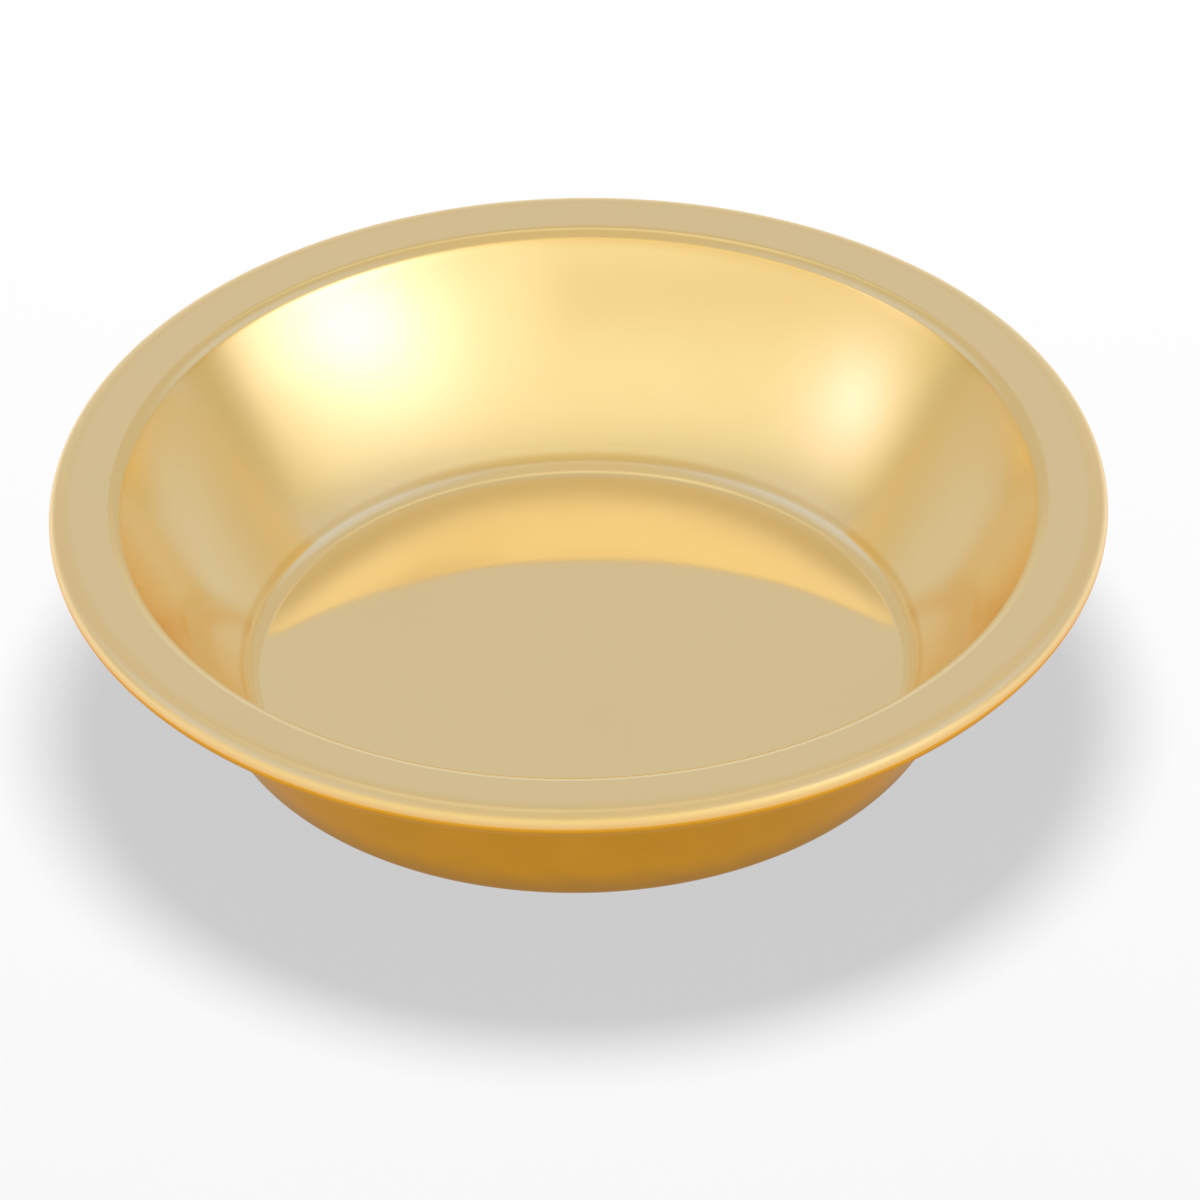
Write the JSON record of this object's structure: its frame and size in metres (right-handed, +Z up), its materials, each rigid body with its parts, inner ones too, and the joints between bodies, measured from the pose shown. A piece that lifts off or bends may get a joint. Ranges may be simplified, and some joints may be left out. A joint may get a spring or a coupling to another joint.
{
  "type": "paten",
  "caption": "Deep dish paten of spun, gold-plated brass: flat floor, steep wall, flat rim with a rounded wired edge. Holds altar breads.",
  "frame": {"origin": "middle of the flat underside that the dish stands on", "axes": "+Z up along the axis that the dish was spun on, out of its open mouth"},
  "size_m": [0.146, 0.146, 0.0312],
  "materials": {
    "gold_plate": "polished gold plate, mirror bright inside, satin underneath",
    "drawn_brass": "bare drawn wire"
  },
  "bodies": {
    "root": {"dish": "gold_plate", "rim_wire": "drawn_brass"}
  },
  "joints": []
}
